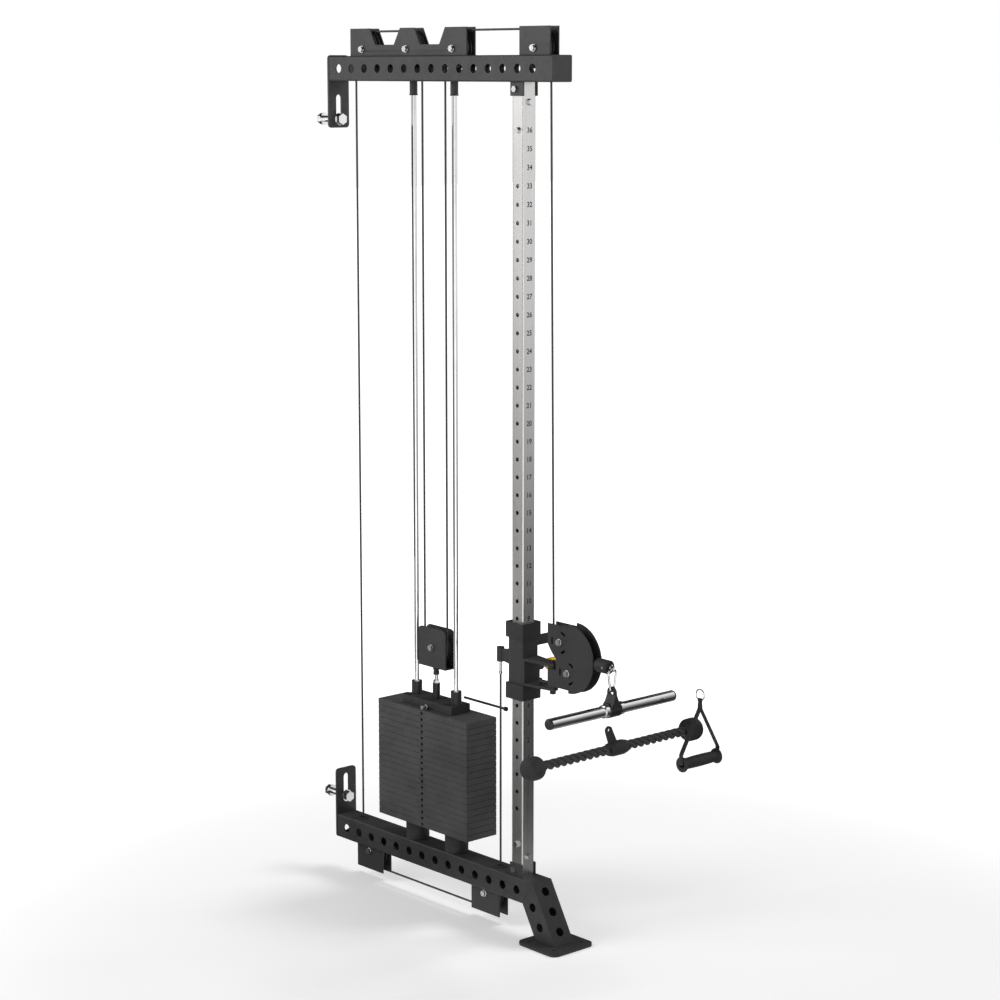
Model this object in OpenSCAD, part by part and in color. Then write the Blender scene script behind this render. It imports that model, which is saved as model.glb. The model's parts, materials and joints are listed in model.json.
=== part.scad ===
// Single cable pulley machine: rack-mounted lat and row station, millimetres, +Z up.
// The origin is the centre of the foot's underside on the floor, +X toward the user.

/* [Frame beams] */
// Outside width of the square beam tube
beam_w = 60; // [50:1:70]
// Wall of the beam tube
beam_wall = 3; // [2:0.5:4]
// Outside corner radius of the beam tube
beam_r = 4; // [1:0.5:6]
// Diameter of the cross holes in beams and leg
beam_hole_d = 21; // [14:0.5:24]
// Pitch of the cross holes in beams and leg
hole_pitch = 50; // [46:0.5:56]
// Rear end of both beams, distance behind the origin
beam_rear = 792; // [786:1:800]
// Height of the lower beam's centre line above the floor
lower_z = 116; // [112:1:122]
// Height of the upper beam's centre line above the floor
upper_z = 2039.6; // [2020:0.2:2060]
// Front end of the upper beam, distance before the origin
upper_front = 10.6; // [4:0.2:30]

/* [Front leg and foot] */
// Angle of the front leg from the vertical
leg_angle = 30; // [26:1:34]
// Distance of the leg's centre line behind the origin at its foot
leg_back = 3; // [0:0.5:6]
// Side of the square foot pad
pad_w = 132; // [124:1:144]
// Height of the foot pad's rim
pad_h = 8; // [7.5:0.5:10]
// Thickness of the steel foot plate
foot_t = 5; // [4:0.5:6]
// Half spacing of the floor bolt holes along X
foot_bolt_x = 42; // [38:1:46]
// Half spacing of the floor bolt holes along Y
foot_bolt_y = 45; // [40:1:48]
// Diameter of the floor bolt holes
foot_bolt_d = 9; // [7:0.5:12]

/* [Upright] */
// Distance of the upright's axis behind the origin
upright_back = 115; // [110:1:120]
// Width of the square upright
upright_w = 38.5; // [36:0.5:40]
// Wall of the upright
upright_wall = 2; // [1.5:0.5:3]
// Diameter of the adjustment holes
adj_d = 10; // [9.6:0.1:11]
// Pitch of the adjustment holes
adj_pitch = 41.84; // [41:0.02:42]
// Height of the first adjustment hole
adj_z = 312; // [306:0.5:316]
// Number of adjustment holes
adj_n = 36; // [34:1:36]
// Height of the ear plates that hold the upright
ear_h = 31; // [26:1:34]
// Thickness of the ear plates
ear_t = 3; // [2:0.5:4]

/* [Rack plates] */
// Thickness of the rack plates
rack_t = 6; // [5:0.5:8]
// Half width of the rack plates
rack_half = 31; // [30:1:34]
// Width of the slots in the rack plates
rack_slot_w = 17.5; // [17:0.5:20]
// Full length of the slots in the rack plates
rack_slot_l = 69; // [60:1:76]
// Height of the upper slot's centre
rack_slot_top = 1942.5; // [1935:0.5:1950]
// Height of the lower slot's centre
rack_slot_low = 215.5; // [210:0.5:222]
// Length of the upper rack plate below its slot's centre
rack_tail_up = 46.5; // [44:0.5:60]
// Length of the lower rack plate above its slot's centre
rack_tail_low = 49.5; // [44:0.5:60]
// Diameter of the opening in each rack plate behind its beam
rack_eye_d = 40; // [36:0.5:46]
// Diameter of the rack bolts
rack_bolt_d = 16; // [12:0.5:16.5]
// Distance of the rack bolts below their slot centres
rack_bolt_drop = 25.5; // [15:0.5:26]
// Gap between rack plate and nut, for the rack's own upright
rack_grip = 52; // [40:1:62]

/* [Pulleys and cable] */
// Radius of the cable's centre line round the frame pulleys
pulley_r = 42; // [38:0.5:43]
// Height of the pulley rim above the cable's centre line
rim_h = 4; // [3:0.25:4.5]
// Width of a pulley across its rims
pulley_w = 14; // [11:0.5:15]
// Diameter of the cable
cable_d = 5; // [4:0.25:5.5]
// Gap between a pulley's bracket plates
bracket_gap = 22.5; // [18:0.5:24]
// Thickness of the bracket plates
bracket_t = 3.5; // [2.5:0.25:4]
// Diameter of the axle bolts
axle_d = 8; // [7:0.5:9]
// Outside diameter of the axle sleeves
sleeve_d = 14; // [13:0.5:16]
// Height of the top pulley axles above the upper beam
top_axle_up = 15.7; // [12:0.1:20]
// Depth of the lower pulley axles below the lower beam
low_axle_down = 15; // [12:0.5:20]
// Distance of the rear pulleys' axles behind the origin
rear_axle = 681; // [676:1:684]
// Distance of the front top pulley's axle behind the origin
front_axle = 67.5; // [64:0.5:69]
// Distance of the anchor cable behind the origin
anchor_back = 194.5; // [192:0.5:198]

/* [Pulley brackets] */
// Height of the top brackets above the upper beam
hump_h = 65; // [60:0.5:70]
// Height of the valleys between the humps
valley_h = 26; // [22:0.5:32]
// Depth of the bottom brackets below the lower beam
drop_h = 63.5; // [60:0.5:70]

/* [Guide rods and stack] */
// Distance of the stack's centre behind the origin
stack_back = 431; // [428:1:434]
// Half spacing of the guide rods
rod_half = 74.2; // [72:0.2:78]
// Diameter of the guide rods
rod_d = 12; // [10:0.5:13]
// Height of the rubber bumpers
bumper_h = 52; // [40:1:60]
// Diameter of the rubber bumpers
bumper_d = 58; // [50:1:64]
// Length of a weight plate along X
plate_l = 335; // [320:1:340]
// Width of a weight plate along Y
plate_w = 96; // [86:1:100]
// Thickness of a weight plate
plate_h = 15.6; // [14:0.2:16]
// Number of weight plates with the top one
plate_n = 19; // [15:1:19]
// Diameter of the selector holes
pick_d = 8; // [7:0.25:9]
// Edge step round each plate
plate_step = 1.2; // [0.6:0.2:2]
// Air gap that paint and burrs leave between two plates
plate_gap = 0.1; // [0.05:0.05:0.3]

/* [Stack head] */
// Length of the head block along X
head_l = 182; // [178:1:190]
// Width of the head block along Y
head_w = 60; // [50:1:70]
// Height of the head block
head_h = 22; // [18:1:26]
// Height of the guide sleeves above the block
head_sleeve_h = 32.6; // [26:0.2:40]
// Diameter of the guide sleeves
head_sleeve_d = 26.5; // [20:0.5:28]
// Diameter of the selector stem
stem_d = 18.5; // [16:0.5:20]
// Height of the stem above the head block
stem_up = 40; // [34:0.5:44]
// Height of the pulley block above the stem's top
block_up = 41; // [36:0.5:46]
// Width of the pulley block's plates
block_w = 102; // [98:1:104]
// Height of the pulley block's plates
block_h = 98; // [96:1:104]
// Travel of the stack
stack_lift = 1250; // [1100:5:1260]

/* [Trolley] */
// Width of the trolley's end collars
collar_w = 60; // [56:1:64]
// Height of the trolley's end collars
collar_h = 37; // [30:1:38]
// Width of the trolley's body tube
body_w = 50; // [48:0.5:52]
// Height of the trolley's body between the collars
body_h = 110; // [104:1:112]
// Hole number at which the trolley is parked
park_hole = 9; // [9:1:9]
// Height of the pop pin above the trolley's underside
pin_up = 66.8; // [62:0.2:70]
// Diameter of the pop pin
pin_d = 9.4; // [8:0.1:9.5]
// Travel of the pop pin
pin_travel = 16; // [12:0.5:16]
// Length of the pop pin's barrel
pin_barrel_l = 34; // [28:1:36]
// Diameter of the yellow knob
knob_d = 31; // [26:1:34]
// Length of the yellow knob
knob_l = 30; // [24:1:34]
// Thickness of the cable anchor's arm
arm_t = 8; // [6:0.5:10]
// Height of the cable's end above the trolley's underside
anchor_up = 43; // [40:0.5:46]
// Length of the ferrule on the cable's end
ferrule_l = 50.5; // [46:0.5:52]
// Height of the anchor's barrel above the trolley's underside
barrel_up = 73.5; // [71:0.5:76]
// Diameter of the trolley's side handle
side_grip_d = 25; // [20:0.5:28]
// Length of the trolley's side handle
side_grip_l = 90; // [70:1:100]

/* [Yoke and swivel head] */
// Distance of the swivel axis behind the origin
swivel_back = 12; // [11:0.5:13]
// Thickness of the yoke plates
yoke_t = 6; // [5:0.5:7]
// Height of the yoke over both flanges
yoke_h = 65; // [63:0.5:66]
// Radius of the flange tips
yoke_tip = 12; // [11:0.5:13]
// Radius of the cable's centre line round the swivel pulleys
swivel_pulley_r = 34.65; // [31:0.05:35]
// Rim height of the swivel pulleys
swivel_rim = 2.2; // [1.8:0.1:2.3]
// Radius of the swivel plates' front arc
swivel_arc = 81; // [80:0.5:83]
// Height of the handle's cable above the yoke's top
tail_up = 22.65; // [20:0.05:24]
// Distance of the cable's drop before the swivel axis
drop_off = 2; // [0:0.5:3]
// Spacing of the two swivel pulleys along X
swivel_step = 27; // [26.5:0.5:28]

/* [Handle bar] */
// Diameter of the cable stopper
stopper_d = 32; // [28:1:36]
// Length of the cable stopper
stopper_l = 41; // [36:1:42]
// Wire diameter of the carabiner
hook_d = 5; // [4:0.25:5.5]
// Diameter of the pull bar
bar_d = 26; // [24:0.5:28]
// Length of the pull bar over its caps
bar_l = 400; // [380:2:404]
// Outside diameter of the bar's centre hub
hub_d = 34; // [32:1:38]
// Length of the bar's centre hub
hub_l = 34; // [30:1:40]

/* [Rope and strap handle] */
// Diameter of the pull rope
rope_d = 23; // [18:0.5:26]
// Spacing of the rope's ball centres
rope_l = 495.6; // [460:0.2:500]
// Diameter of the rope's end balls
ball_d = 53; // [48:1:53]
// Length of the rope's end balls
ball_l = 50; // [44:1:56]
// Diameter of the strap handle's grip
grip_d = 27; // [24:0.5:30]
// Length of the strap handle's grip over its end discs
grip_l = 118; // [106:1:124]
// Width of the strap
strap_w = 13; // [12:1:14]
// Thickness of the strap
strap_t = 2.5; // [1.5:0.25:3]

/* [Clearances] */
// Radial running clearance of shafts and slides
run = 0.05; // [0.03:0.01:0.1]
// Radial clearance of fixed bolts in their holes
fit = 0.05; // [0.03:0.01:0.1]
// Clearance between cable and groove
lay = 0.3; // [0.2:0.05:0.5]
// Side clearance of a pulley's hub between its plates
hub_side = 0.2; // [0.1:0.05:0.4]

/* [Hidden] */
$fn = 48;
eps = 0.5;
zl_top = lower_z + beam_w / 2;
zl_bot = lower_z - beam_w / 2;
zu_top = upper_z + beam_w / 2;
zu_bot = upper_z - beam_w / 2;
beam_in = beam_w - 2 * beam_wall;
knee_x = -leg_back - (lower_z - pad_h) * tan(leg_angle);
mitre = 45 + leg_angle / 2;
first_hole = -beam_rear + 36.9;
up_x = -upright_back;
hole_z = adj_z + (park_hole - 1) * adj_pitch;
half_gap = bracket_gap / 2;
plate_out = half_gap + bracket_t;
rim_r = pulley_r + rim_h;
z_low_axle = zl_bot - low_axle_down;
z_top_axle = zu_top + top_axle_up;
x_rear = -rear_axle;
x_mid = -stack_back - 2 * pulley_r;
x_return = -stack_back + 2 * pulley_r;
x_front = -front_axle;
x_base_front = -anchor_back - pulley_r;
x_riser = x_rear - pulley_r;
x_left = x_mid + pulley_r;
x_right = x_return - pulley_r;
x_drop = x_front + pulley_r;
slot_half = rim_r + 2;
stack_z = zl_top + bumper_h;
top_plate_z = stack_z + (plate_n - 1) * plate_h;
head_z = top_plate_z + plate_h;
head_top = head_z + head_h;
stem_top = head_top + stem_up;
block_z = stem_top + block_up;
block_axle_z = block_z + 3.1 + rim_r;
neck_h = 20;
tro_z = hole_z - pin_up;
body_z = tro_z + collar_h;
body_top = body_z + body_h;
bore_w = upright_w + 2 * run;
face_bolts = [zl_top + 47.6, zu_bot - 44.6];
anchor_z = tro_z + anchor_up;
ferrule_top = anchor_z + ferrule_l;
barrel_z = tro_z + barrel_up;
barrel_h = 35;
sw_x = -swivel_back;
yoke_x = up_x + body_w / 2;
sp_rim = swivel_pulley_r + swivel_rim;
tail_z = body_z + yoke_h + tail_up;
su_x = sw_x + drop_off + swivel_pulley_r;
su_z = tail_z + swivel_pulley_r;
sl_x = su_x + swivel_step;
sl_z = tail_z - swivel_pulley_r;
arc_x = 55;
stop_x = arc_x + swivel_arc + 1;
head_low = body_z + yoke_t + 7.3;
head_up = tail_z + 73.5;
notch_low = body_z + yoke_h - yoke_t - 5;
stop_back = 43;
hex_w = 13;
hang_x = stop_x + stopper_l + 6.2;
ring_r = 7;
set_at = 31;
ring_w = 4.4;
cup_deep = 3;
hook_top = tail_z - ring_r + ring_w / 2 + hook_d / 2 + run;
eye_t = 5;
eye_d = 12;
hook_r1 = 11.5;
hook_len = 51.4;
hook_r2 = 6;
hook_phi = asin((hook_r1 - hook_r2) / (hook_len - hook_r1 - hook_r2));
hook_leg = (hook_len - hook_r1 - hook_r2) * cos(hook_phi);
hook_low = hook_top - hook_len;
// The eye hangs on the wire where the lug's faces meet its bend
wire_top = hook_low + hook_r2 - sqrt(pow(hook_r2 - hook_d / 2, 2) - pow(eye_t / 2, 2));
ear_z = wire_top + run - eye_d / 2;
bar_z = hook_low - 43;
lug_r = 13.5;
collar_l = 12;
rope_x = 226;
rope_z = 532;
rope_y = -32.8;
grip_pos = [259.5, 209.5, 466.3];
loop_z = 142.3;
split_z = 123.5;
end_disc = 5;
stop_hi = 1902.5;
stop_lo = 224.4;
collar_face = 13;

// Names of all sub-parts in build order

// Square section with rounded corners
module rsq(w, h, r) {
  square([w - 2 * r, h], center = true);
  square([w, h - 2 * r], center = true);
  for (i = [-1, 1], j = [-1, 1]) translate([i * (w / 2 - r), j * (h / 2 - r)]) circle(r);
}

// Drawing in X and Z, made thick along Y from y0
module xz(y0, t) {
  translate([0, y0 + t, 0]) rotate([90, 0, 0]) linear_extrude(t) children();
}

// Cylinder along Y from y0 to y1
module ycyl(x, z, y0, y1, d) {
  translate([x, y1, z]) rotate([90, 0, 0]) cylinder(h = y1 - y0, d = d);
}

// Cylinder along X from x0 to x1
module xcyl(y, z, x0, x1, d) {
  translate([x0, y, z]) rotate([0, 90, 0]) cylinder(h = x1 - x0, d = d);
}

// Hexagon prism along Y, measured across its flats
module yhex(x, z, y0, y1, af) {
  translate([x, y1, z]) rotate([90, 0, 0]) cylinder(h = y1 - y0, d = af / cos(30), $fn = 6);
}

// Bolt along Y with its hexagon head at the near side
module ybolt(x, z, y0, y1, d, af, hh) {
  ycyl(x, z, y0 - eps, y1, d);
  yhex(x, z, y0 - hh, y0, af);
}

// Nut along Y
module ynut(x, z, y0, d, af, nh) {
  difference() {
    yhex(x, z, y0, y0 + nh, af);
    ycyl(x, z, y0 - 1, y0 + nh + 1, d + 2 * fit);
  }
}

// Tube spacer along Y between two plates
module ysleeve(x, z) {
  difference() {
    ycyl(x, z, -half_gap, half_gap, sleeve_d);
    ycyl(x, z, -half_gap - 1, half_gap + 1, axle_d + 2 * fit);
  }
}

// Grooved wheel about the Y axis
module wheel(x, z, r, rim) {
  translate([x, 0, z]) rotate([90, 0, 0]) difference() {
    union() {
      translate([0, 0, -pulley_w / 2]) cylinder(h = pulley_w, r = r + rim);
      translate([0, 0, -half_gap + hub_side]) cylinder(h = bracket_gap - 2 * hub_side, d = sleeve_d + 10);
    }
    translate([0, 0, -half_gap - 1]) cylinder(h = bracket_gap + 2, d = sleeve_d + 2 * run);
    rotate_extrude() translate([r, 0]) circle(cable_d / 2 + lay);
    rotate_extrude() polygon([
      [r, -cable_d / 2 - lay], [r + rim + 1, -cable_d / 2 - lay - 1.2],
      [r + rim + 1, cable_d / 2 + lay + 1.2], [r, cable_d / 2 + lay]
    ]);
  }
}

// Cable arc about a pulley axle, from angle a0 over sweep da in the XZ plane
module wrap(x, z, r, a0, da) {
  translate([x, 0, z]) rotate([90, 0, 0]) rotate([0, 0, a0])
    rotate_extrude(angle = da) translate([r, 0]) circle(d = cable_d);
}

// Vertical cable from z0 to z1
module vcable(x, z0, z1) {
  translate([x, 0, z0]) cylinder(h = z1 - z0, d = cable_d);
}

module mitred_beam(w, back, over) {
  h = w / 2;
  xm = over * 20;
  rotate([90, 0, 0]) linear_extrude(w, center = true) polygon([
    [-beam_rear - back, lower_z - h], [knee_x - h / tan(mitre) + xm, lower_z - h],
    [knee_x + h / tan(mitre) + xm, lower_z + h], [-beam_rear - back, lower_z + h]
  ]);
}

// Ear plates on both faces of the upright, standing on the beam at z0
module ears(z0) {
  for (s = [-1, 1]) difference() {
    translate([up_x - 22, s > 0 ? upright_w / 2 : -upright_w / 2 - ear_t, z0]) cube([44, ear_t, ear_h]);
    ycyl(up_x - 5, z0 + ear_h / 2, s * 20 - 10, s * 20 + 10, 8 + 2 * fit);
  }
}

module base_beam() {
  color([0.11, 0.11, 0.12]) difference() {
    union() {
      intersection() {
        mitred_beam(beam_w, 0, 0);
        translate([-beam_rear - 1, 0, lower_z]) rotate([0, 90, 0]) linear_extrude(beam_rear) rsq(beam_w, beam_w, beam_r);
      }
      ears(zl_top);
    }
    mitred_beam(beam_in, 1, 1);
    for (i = [0:13]) if (first_hole + i * hole_pitch < -100)
      ycyl(first_hole + i * hole_pitch, lower_z, -beam_w, beam_w, beam_hole_d);
    for (x = [x_rear, x_base_front])
      translate([x - slot_half, -half_gap + 0.5, zl_bot - 1]) cube([2 * slot_half, bracket_gap - 1, beam_wall + 2]);
    for (x = [x_riser, -anchor_back]) translate([x, 0, lower_z]) cylinder(h = beam_w, d = 29);
  }
}

// Leg solid of width w, from the floor plate to the mitre and past both by over
module leg_solid(w, over) {
  h = w / 2 / cos(leg_angle);
  z1 = pad_h - over;
  x1 = -leg_back + over * tan(leg_angle);
  k = w / 2;
  rotate([90, 0, 0]) linear_extrude(w, center = true) polygon([
    [x1 - h, z1], [x1 + h, z1],
    [knee_x + k / tan(mitre) - over, lower_z + k], [knee_x - k / tan(mitre) - over, lower_z - k]
  ]);
}

module front_leg() {
  k = beam_w / 2;
  kin = beam_in / 2;
  h = k / cos(leg_angle);
  hin = kin / cos(leg_angle);
  color([0.11, 0.11, 0.12]) difference() {
    leg_solid(beam_w, 0);
    rotate([90, 0, 0]) linear_extrude(beam_in, center = true) polygon([
      [-leg_back + tan(leg_angle) - hin, pad_h - 1], [-leg_back + tan(leg_angle) + hin, pad_h - 1],
      [knee_x + kin / tan(mitre), lower_z + kin], [knee_x + kin / tan(mitre) - 20, lower_z + kin],
      [knee_x - kin / tan(mitre) - 20, lower_z - kin], [knee_x - kin / tan(mitre), lower_z - kin]
    ]);
    translate([-leg_back, 0, pad_h]) rotate([0, -leg_angle, 0]) {
      for (s = [0.8, 1.8]) translate([0, beam_w, s * hole_pitch]) rotate([90, 0, 0]) cylinder(h = 2 * beam_w, d = beam_hole_d);
      for (s = [0.3, 1.3, 2.3]) translate([0, 0, s * hole_pitch]) rotate([0, 90, 0]) cylinder(h = beam_w, d = beam_hole_d);
    }
  }
}

module foot_plate() {
  w = pad_w - 6;
  color([0.12, 0.12, 0.13]) translate([0, 0, pad_h - foot_t]) difference() {
    linear_extrude(foot_t) rsq(w - 0.4, w - 0.4, 15);
    for (i = [-1, 1], j = [-1, 1]) translate([i * foot_bolt_x, j * foot_bolt_y, -1]) cylinder(h = foot_t + 2, d = foot_bolt_d);
  }
}

module foot_pad() {
  w = pad_w - 6;
  color([0.06, 0.06, 0.06]) difference() {
    linear_extrude(pad_h) rsq(pad_w, pad_w, 18);
    translate([0, 0, pad_h - foot_t]) linear_extrude(foot_t + 1) rsq(w, w, 15);
    for (i = [-1, 1], j = [-1, 1]) translate([i * foot_bolt_x, j * foot_bolt_y, -1]) cylinder(h = pad_h, d = foot_bolt_d + 1);
  }
}

module top_beam() {
  l = beam_rear + upper_front;
  color([0.11, 0.11, 0.12]) difference() {
    union() {
      translate([-beam_rear, 0, upper_z]) rotate([0, 90, 0]) linear_extrude(l) rsq(beam_w, beam_w, beam_r);
      ears(zu_bot - ear_h);
    }
    translate([-beam_rear - 1, 0, upper_z]) rotate([0, 90, 0]) linear_extrude(l - beam_wall + 1) rsq(beam_in, beam_in, 1);
    for (i = [0:14]) ycyl(first_hole + i * hole_pitch, upper_z, -beam_w, beam_w, beam_hole_d);
    for (x = [x_rear, x_mid, x_return, x_front])
      translate([x - slot_half, -half_gap + 0.5, zu_top - beam_wall - 1]) cube([2 * slot_half, bracket_gap - 1, beam_wall + 2]);
    for (x = [x_riser, x_left, x_right, x_drop]) translate([x, 0, zu_bot - 1]) cylinder(h = beam_wall + 2, d = 12);
  }
}

module rack_plate(z0, z1, slot, eye_z) {
  difference() {
    translate([-beam_rear - rack_t, 0, (z0 + z1) / 2]) rotate([0, 90, 0]) linear_extrude(rack_t) rsq(z1 - z0, 2 * rack_half, 9);
    for (s = [-1, 1]) xcyl(0, slot + s * (rack_slot_l - rack_slot_w) / 2, -beam_rear - 2 * rack_t, -beam_rear + 1, rack_slot_w);
    translate([-beam_rear - 2 * rack_t, -rack_slot_w / 2, slot - (rack_slot_l - rack_slot_w) / 2])
      cube([2 * rack_t + 1, rack_slot_w, rack_slot_l - rack_slot_w]);
    xcyl(0, eye_z, -beam_rear - 2 * rack_t, -beam_rear + 1, rack_eye_d);
  }
}

module rack_plates() {
  color([0.1, 0.1, 0.11]) {
    rack_plate(rack_slot_top - rack_tail_up, zu_top + 2.4, rack_slot_top, upper_z);
    rack_plate(zl_bot - 1.6, rack_slot_low + rack_tail_low, rack_slot_low, lower_z);
  }
}

module rack_bolt(z) {
  xn = -beam_rear - rack_t - rack_grip;
  face = -beam_rear + 3;
  difference() {
    xcyl(0, z, -beam_rear, face, 30);
    xcyl(0, z, -beam_rear - 1, face + 1, rack_bolt_d + 2 * fit);
  }
  xcyl(0, z, xn - 22, face + eps, rack_bolt_d);
  translate([face, 0, z]) rotate([0, 90, 0]) cylinder(h = 12, d = 24 / cos(30), $fn = 6);
  difference() {
    union() {
      translate([xn - 16, 0, z]) rotate([0, 90, 0]) cylinder(h = 13, d = 24 / cos(30), $fn = 6);
      xcyl(0, z, xn - 3, xn, 30);
    }
    xcyl(0, z, xn - 23, xn + 1, rack_bolt_d + 2 * fit);
  }
}

module rack_bolts() {
  color([0.8, 0.8, 0.82]) {
    rack_bolt(rack_slot_top - rack_bolt_drop);
    rack_bolt(rack_slot_low - rack_bolt_drop);
  }
}

module upper_brackets() {
  zv = zu_top + valley_h;
  zh = zu_top + hump_h;
  e = 26;
  color([0.1, 0.1, 0.11]) {
    for (s = [0, 1]) mirror([0, s, 0]) difference() {
      xz(half_gap, bracket_t) polygon([
        [x_rear - 45.4, zu_top], [x_return + 50, zu_top], [x_return + 50, zh], [x_return - e, zh],
        [x_return - e - 21, zv], [x_mid + 51, zv], [x_mid + 30.5, zh], [x_mid - 22.5, zh],
        [x_mid - 46, zv], [x_rear + 50, zv], [x_rear + 29, zh], [x_rear - 45.4, zh]
      ]);
      for (x = [x_rear, x_mid, x_return]) ycyl(x, z_top_axle, 0, 20, axle_d + 2 * fit);
    }
    for (s = [0, 1]) mirror([0, s, 0]) difference() {
      xz(half_gap, bracket_t) polygon([
        [x_front - 47.8, zu_top], [x_front + 53.5, zu_top], [x_front + 53.5, zh - 1], [x_front - 47.8, zh - 1]
      ]);
      ycyl(x_front, z_top_axle, 0, 20, axle_d + 2 * fit);
    }
  }
}

module lower_brackets() {
  zb = zl_bot - drop_h;
  color([0.1, 0.1, 0.11]) for (x = [x_rear, x_base_front], s = [0, 1]) mirror([0, s, 0]) difference() {
    xz(half_gap, bracket_t) polygon([[x - 48.6, zb], [x + 53, zb], [x + 53, zl_bot], [x - 48.6, zl_bot]]);
    ycyl(x, z_low_axle, 0, 20, axle_d + 2 * fit);
  }
}

// Axle bolt, nut and sleeve through a pair of bracket plates
module axle_set(x, z) {
  difference() {
    ycyl(x, z, -plate_out - 2, -plate_out, 17);
    ycyl(x, z, -plate_out - 3, -plate_out + 1, axle_d + 2 * fit);
  }
  ybolt(x, z, -plate_out - 2, plate_out + 9, axle_d, 13, 5.3);
  ynut(x, z, plate_out, axle_d, 13, 6.5);
  ysleeve(x, z);
}

// Chrome bolt along Y through the upright, heads outside its faces
module cross_bolt(x, z, y) {
  ybolt(x, z, -y, y + 9, 8, collar_face, 6);
  ynut(x, z, y, 8, collar_face, 7);
}

module frame_bolts() {
  color([0.8, 0.8, 0.82]) {
    for (x = [x_rear, x_mid, x_return, x_front]) axle_set(x, z_top_axle);
    for (x = [x_rear, x_base_front]) axle_set(x, z_low_axle);
    for (z = [zl_top + ear_h / 2, zu_bot - ear_h / 2]) cross_bolt(up_x - 5, z, upright_w / 2 + ear_t);
    for (z = [stop_lo, stop_hi]) cross_bolt(up_x, z, upright_w / 2);
    for (z = face_bolts) {
      xcyl(0, z, up_x + upright_w / 2 - 12, up_x + upright_w / 2 + eps, 8);
      translate([up_x + upright_w / 2, 0, z]) rotate([0, 90, 0]) cylinder(h = 6, d = hex_w / cos(30), $fn = 6);
    }
  }
}

module pulley_top_rear() { color([0.05, 0.05, 0.05]) wheel(x_rear, z_top_axle, pulley_r, rim_h); }
module pulley_top_middle() { color([0.05, 0.05, 0.05]) wheel(x_mid, z_top_axle, pulley_r, rim_h); }
module pulley_top_return() { color([0.05, 0.05, 0.05]) wheel(x_return, z_top_axle, pulley_r, rim_h); }
module pulley_top_front() { color([0.05, 0.05, 0.05]) wheel(x_front, z_top_axle, pulley_r, rim_h); }
module pulley_base_rear() { color([0.05, 0.05, 0.05]) wheel(x_rear, z_low_axle, pulley_r, rim_h); }
module pulley_base_front() { color([0.05, 0.05, 0.05]) wheel(x_base_front, z_low_axle, pulley_r, rim_h); }

module upright() {
  w = upright_w - 2 * upright_wall;
  color([0.6, 0.6, 0.6]) difference() {
    translate([up_x, 0, zl_top]) linear_extrude(zu_bot - zl_top) difference() {
      rsq(upright_w, upright_w, 4);
      rsq(w, w, 2);
    }
    for (i = [0:adj_n - 1]) ycyl(up_x, adj_z + i * adj_pitch, -upright_w, upright_w, adj_d);
    for (z = [stop_lo, stop_hi]) ycyl(up_x, z, -upright_w, upright_w, 8 + 2 * fit);
    for (z = [zl_top + ear_h / 2, zu_bot - ear_h / 2]) ycyl(up_x - 5, z, -upright_w, upright_w, 8 + 2 * fit);
    for (z = face_bolts) xcyl(0, z, up_x, up_x + upright_w, 8 + 2 * fit);
  }
}

module frame_bushes() {
  color([0.05, 0.05, 0.05]) {
    for (x = [x_riser, -anchor_back]) difference() {
      union() {
        translate([x, 0, zl_top]) cylinder(h = 2.5, d = 35);
        translate([x, 0, zl_top - beam_wall]) cylinder(h = beam_wall + eps, d = 29 - 2 * fit);
      }
      translate([x, 0, zl_top - beam_wall - 1]) cylinder(h = beam_wall + 5, d = 16);
    }
    for (s = [-1, 1]) difference() {
      union() {
        translate([-stack_back + s * rod_half, 0, zu_bot - 32.6]) cylinder(h = 32.6, d = 18.5);
        translate([-stack_back + s * rod_half, 0, zu_bot - 32.6]) cylinder(h = 2, d = 21);
      }
      translate([-stack_back + s * rod_half, 0, zu_bot - 34]) cylinder(h = 36, d = rod_d + 2 * fit);
    }
  }
}

module guide_rods() {
  color([0.85, 0.85, 0.87]) for (s = [-1, 1])
    translate([-stack_back + s * rod_half, 0, zl_top]) cylinder(h = zu_bot - zl_top, d = rod_d);
}

module stack_bumpers() {
  color([0.06, 0.06, 0.06]) for (s = [-1, 1]) translate([-stack_back + s * rod_half, 0, zl_top]) difference() {
    cylinder(h = bumper_h, d = bumper_d);
    translate([0, 0, -1]) cylinder(h = bumper_h + 2, d = rod_d + 2 * fit);
  }
}

// One weight plate standing on z, stepped round its edges
module weight(z) {
  difference() {
    union() {
      translate([-stack_back - plate_l / 2 + plate_step, -plate_w / 2 + plate_step, z])
        cube([plate_l - 2 * plate_step, plate_w - 2 * plate_step, plate_h - plate_gap]);
      translate([-stack_back - plate_l / 2, -plate_w / 2, z + plate_step / 2]) cube([plate_l, plate_w, plate_h - plate_step]);
    }
    for (s = [-1, 1]) translate([-stack_back + s * rod_half, 0, z - 1]) cylinder(h = plate_h + 2, d = rod_d + 3);
    translate([-stack_back, 0, z - 1]) cylinder(h = plate_h + 2, d = stem_d + 1);
    ycyl(-stack_back, z + plate_h / 2, -plate_w, 0, pick_d);
  }
}

module weight_plates() {
  color([0.13, 0.13, 0.14]) for (i = [0:plate_n - 2]) weight(stack_z + i * plate_h);
}

module selector_pin() {
  color([0.04, 0.04, 0.04]) {
    xcyl(60, 516, -395, -246, 6);
    xcyl(60, 516, -246.5, -240, 11);
  }
}

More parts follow.
